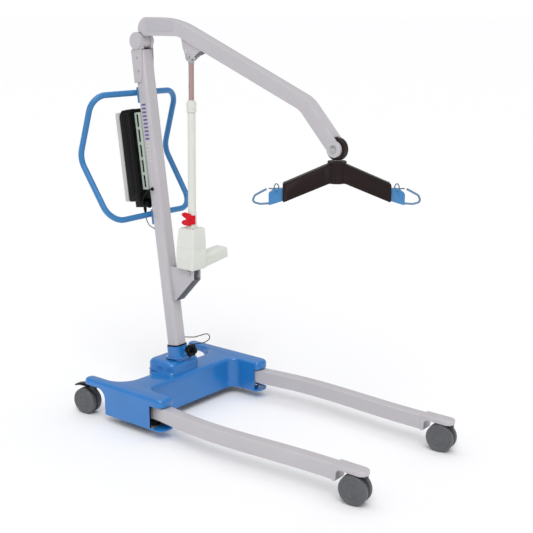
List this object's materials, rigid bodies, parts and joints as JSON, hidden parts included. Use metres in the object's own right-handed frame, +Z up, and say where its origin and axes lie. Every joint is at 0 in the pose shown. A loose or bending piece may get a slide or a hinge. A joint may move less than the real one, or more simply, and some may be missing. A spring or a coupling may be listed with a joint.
{
  "type": "patient lift hoist",
  "caption": "Mobile patient lift with a leaning mast, an actuator-driven boom, a spreader bar with sling hooks, a push handle and castored legs that spread.",
  "frame": {"origin": "on the floor, at the middle of the footprint", "axes": "+Z up; the legs point along -Y and the carer stands at +Y; +X is the motor's side, the patient's right when facing the mast"},
  "size_m": [0.6222, 1.34, 1.474],
  "materials": {
    "lilac_paint": "satin powder coat, pale lilac grey",
    "blue_plastic": "moulded blue cover, satin",
    "blue_paint": "blue powder coat, satin",
    "frame_paint": "plain grey chassis paint",
    "black_plastic": "black moulded housing",
    "dark_plastic": "dark brown-black moulding",
    "light_plastic": "pale grey moulded plastic",
    "red_plastic": "red moulded plastic",
    "cream_plastic": "cream actuator housing",
    "bracket_paint": "grey-green sheet metal",
    "rod_chrome": "polished rod",
    "plain_steel": "zinc plated steel",
    "castor_plastic": "dark grey nylon castor body",
    "castor_tread": "dark grey castor wheel",
    "black_cable": "black cable jacket",
    "grey_cable": "grey cable jacket"
  },
  "bodies": {
    "root": {"base_cover": "blue_plastic", "tower_cover": "blue_plastic", "base_frame": "frame_paint", "leg_pivot_bolts": "plain_steel", "mast_collar": "blue_paint", "collar_seal": "black_plastic", "mast": "lilac_paint", "mast_plugs": "black_plastic", "mast_head": "lilac_paint", "hinge_pin": "plain_steel", "handle": "blue_paint", "handle_plates": "blue_paint", "box_bracket": "bracket_paint", "control_box": "black_plastic", "connector_block": "black_plastic", "box_lead": "black_cable", "plug_lead": "grey_cable", "leg_lead": "black_cable", "actuator_bracket": "lilac_paint", "bracket_pin": "plain_steel"},
    "lock_knob": {"lock_knob": "black_plastic"},
    "stop_button": {"stop_button": "red_plastic"},
    "battery_pack": {"battery_pack": "light_plastic"},
    "actuator": {"actuator_clevis": "plain_steel", "motor_cover": "cream_plastic", "motor_housing": "cream_plastic", "actuator_tube": "cream_plastic", "actuator_head": "cream_plastic", "drive_screw": "plain_steel"},
    "release_grip": {"release_grip": "red_plastic"},
    "actuator_rod": {"actuator_rod": "rod_chrome", "rod_end": "plain_steel"},
    "boom": {"boom": "lilac_paint", "boom_panels": "lilac_paint", "boom_gusset": "lilac_paint", "boom_fasteners": "plain_steel"},
    "hanger": {"hanger": "dark_plastic", "swivel_nut": "plain_steel"},
    "spreader": {"spreader_hub": "dark_plastic", "spreader_arms": "dark_plastic", "hook_blocks": "blue_paint", "hook_wires": "blue_paint"},
    "latch_right": {"latch_right": "plain_steel"},
    "latch_left": {"latch_left": "plain_steel"},
    "leg_right": {"leg_right": "lilac_paint", "leg_cap_right": "lilac_paint"},
    "leg_left": {"leg_left": "lilac_paint", "leg_cap_left": "lilac_paint"},
    "spread_tube": {"spread_tube": "cream_plastic"},
    "spread_rod": {"spread_rod": "plain_steel"},
    "castor_front_right": {"castor_fork_front_right": "castor_plastic"},
    "wheels_front_right": {"castor_wheels_front_right": "castor_tread"},
    "castor_front_left": {"castor_fork_front_left": "castor_plastic"},
    "wheels_front_left": {"castor_wheels_front_left": "castor_tread"},
    "castor_rear_right": {"castor_fork_rear_right": "castor_plastic"},
    "wheels_rear_right": {"castor_wheels_rear_right": "castor_tread"},
    "castor_rear_left": {"castor_fork_rear_left": "castor_plastic"},
    "wheels_rear_left": {"castor_wheels_rear_left": "castor_tread"},
    "brake_pedal_right": {"brake_pedal_right": "black_plastic"},
    "brake_pedal_left": {"brake_pedal_left": "black_plastic"}
  },
  "joints": [
    {"name": "boom_lift", "type": "hinge", "parent": "root", "child": "boom", "pos_m": [0, 0.554, 1.388], "axis": [-1, 0, 0], "range_deg": [-20, 30]},
    {"name": "actuator_tilt", "type": "hinge", "parent": "root", "child": "actuator", "pos_m": [0, 0.317, 0.545], "axis": [1, 0, 0], "range_deg": [-1, 1]},
    {"name": "rod_slide", "type": "slide", "parent": "actuator", "child": "actuator_rod", "axis": [0, -0.0152, 0.9999], "range_m": [-0.085, 0.127]},
    {"name": "release_pull", "type": "slide", "parent": "actuator", "child": "release_grip", "axis": [0, -0.0152, 0.9999], "range_m": [0, 0.006], "stiffness_N_per_m": 900, "springref_m": -0.002},
    {"name": "stop_press", "type": "slide", "parent": "root", "child": "stop_button", "axis": [-1, 0, 0], "range_m": [0, 0.0035], "stiffness_N_per_m": 800},
    {"name": "battery_lift", "type": "slide", "parent": "root", "child": "battery_pack", "axis": [0, 0.1288, 0.9917], "range_m": [0, 0.06]},
    {"name": "knob_turn", "type": "hinge", "parent": "root", "child": "lock_knob", "pos_m": [0.008, 0.346, 0.233], "axis": [0, -1, 0], "continuous": true},
    {"name": "hanger_tilt", "type": "hinge", "parent": "boom", "child": "hanger", "pos_m": [0, -0.337, 1.06], "axis": [1, 0, 0], "range_deg": [-45, 45]},
    {"name": "spreader_swivel", "type": "hinge", "parent": "hanger", "child": "spreader", "pos_m": [0, -0.337, 0.98], "axis": [0, 0, 1], "continuous": true},
    {"name": "latch_left_open", "type": "hinge", "parent": "spreader", "child": "latch_left", "pos_m": [0.12398, -0.4901, 0.922], "axis": [0.7771, 0.6293, 0], "range_deg": [0, 30], "stiffness_Nm_per_rad": 0.05, "springref_deg": -17.19},
    {"name": "latch_right_open", "type": "hinge", "parent": "spreader", "child": "latch_right", "pos_m": [-0.12398, -0.1839, 0.922], "axis": [-0.7771, -0.6293, 0], "range_deg": [0, 30], "stiffness_Nm_per_rad": 0.05, "springref_deg": -17.19},
    {"name": "leg_right_spread", "type": "hinge", "parent": "root", "child": "leg_right", "pos_m": [-0.262, 0.266, 0.089], "axis": [0, 0, -1], "range_deg": [0, 15]},
    {"name": "leg_left_spread", "type": "hinge", "parent": "root", "child": "leg_left", "pos_m": [0.262, 0.266, 0.089], "axis": [0, 0, 1], "range_deg": [0, 15]},
    {"name": "spread_tube_turn", "type": "hinge", "parent": "leg_right", "child": "spread_tube", "pos_m": [-0.246, 0.386, 0.0565], "axis": [0, 0, 1], "range_deg": [0, 15]},
    {"name": "spread_rod_turn", "type": "hinge", "parent": "leg_left", "child": "spread_rod", "pos_m": [0.246, 0.386, 0.0565], "axis": [0, 0, -1], "range_deg": [0, 15]},
    {"name": "castor_front_right_swivel", "type": "hinge", "parent": "leg_right", "child": "castor_front_right", "pos_m": [-0.265, -0.646, 0.1], "axis": [0, 0, 1], "continuous": true},
    {"name": "wheels_front_right_roll", "type": "hinge", "parent": "castor_front_right", "child": "wheels_front_right", "pos_m": [-0.26917, -0.61629, 0.05], "axis": [0.9903, 0.1392, 0], "continuous": true},
    {"name": "castor_front_left_swivel", "type": "hinge", "parent": "leg_left", "child": "castor_front_left", "pos_m": [0.265, -0.646, 0.1], "axis": [0, 0, 1], "continuous": true},
    {"name": "wheels_front_left_roll", "type": "hinge", "parent": "castor_front_left", "child": "wheels_front_left", "pos_m": [0.26082, -0.61629, 0.05], "axis": [0.9903, 0.1392, 0], "continuous": true},
    {"name": "castor_rear_right_swivel", "type": "hinge", "parent": "root", "child": "castor_rear_right", "pos_m": [-0.273, 0.586, 0.1], "axis": [0, 0, 1], "continuous": true},
    {"name": "wheels_rear_right_roll", "type": "hinge", "parent": "castor_rear_right", "child": "wheels_rear_right", "pos_m": [-0.27718, 0.61571, 0.05], "axis": [0.9903, 0.1392, 0], "continuous": true},
    {"name": "brake_right_press", "type": "hinge", "parent": "castor_rear_right", "child": "brake_pedal_right", "pos_m": [-0.27585, 0.6063, 0.111], "axis": [-0.9903, -0.1392, 0], "range_deg": [0, 8]},
    {"name": "castor_rear_left_swivel", "type": "hinge", "parent": "root", "child": "castor_rear_left", "pos_m": [0.273, 0.586, 0.1], "axis": [0, 0, 1], "continuous": true},
    {"name": "wheels_rear_left_roll", "type": "hinge", "parent": "castor_rear_left", "child": "wheels_rear_left", "pos_m": [0.26882, 0.61571, 0.05], "axis": [0.9903, 0.1392, 0], "continuous": true},
    {"name": "brake_left_press", "type": "hinge", "parent": "castor_rear_left", "child": "brake_pedal_left", "pos_m": [0.27015, 0.6063, 0.111], "axis": [-0.9903, -0.1392, 0], "range_deg": [0, 8]}
  ],
  "couplings": [
    {"joint": "actuator_tilt", "follows": "boom_lift", "ratio": 0.03},
    {"joint": "rod_slide", "follows": "boom_lift", "m_per_rad": 0.242},
    {"joint": "leg_left_spread", "follows": "leg_right_spread", "ratio": 1},
    {"joint": "spread_tube_turn", "follows": "leg_right_spread", "ratio": 1},
    {"joint": "spread_rod_turn", "follows": "leg_right_spread", "ratio": 1}
  ]
}
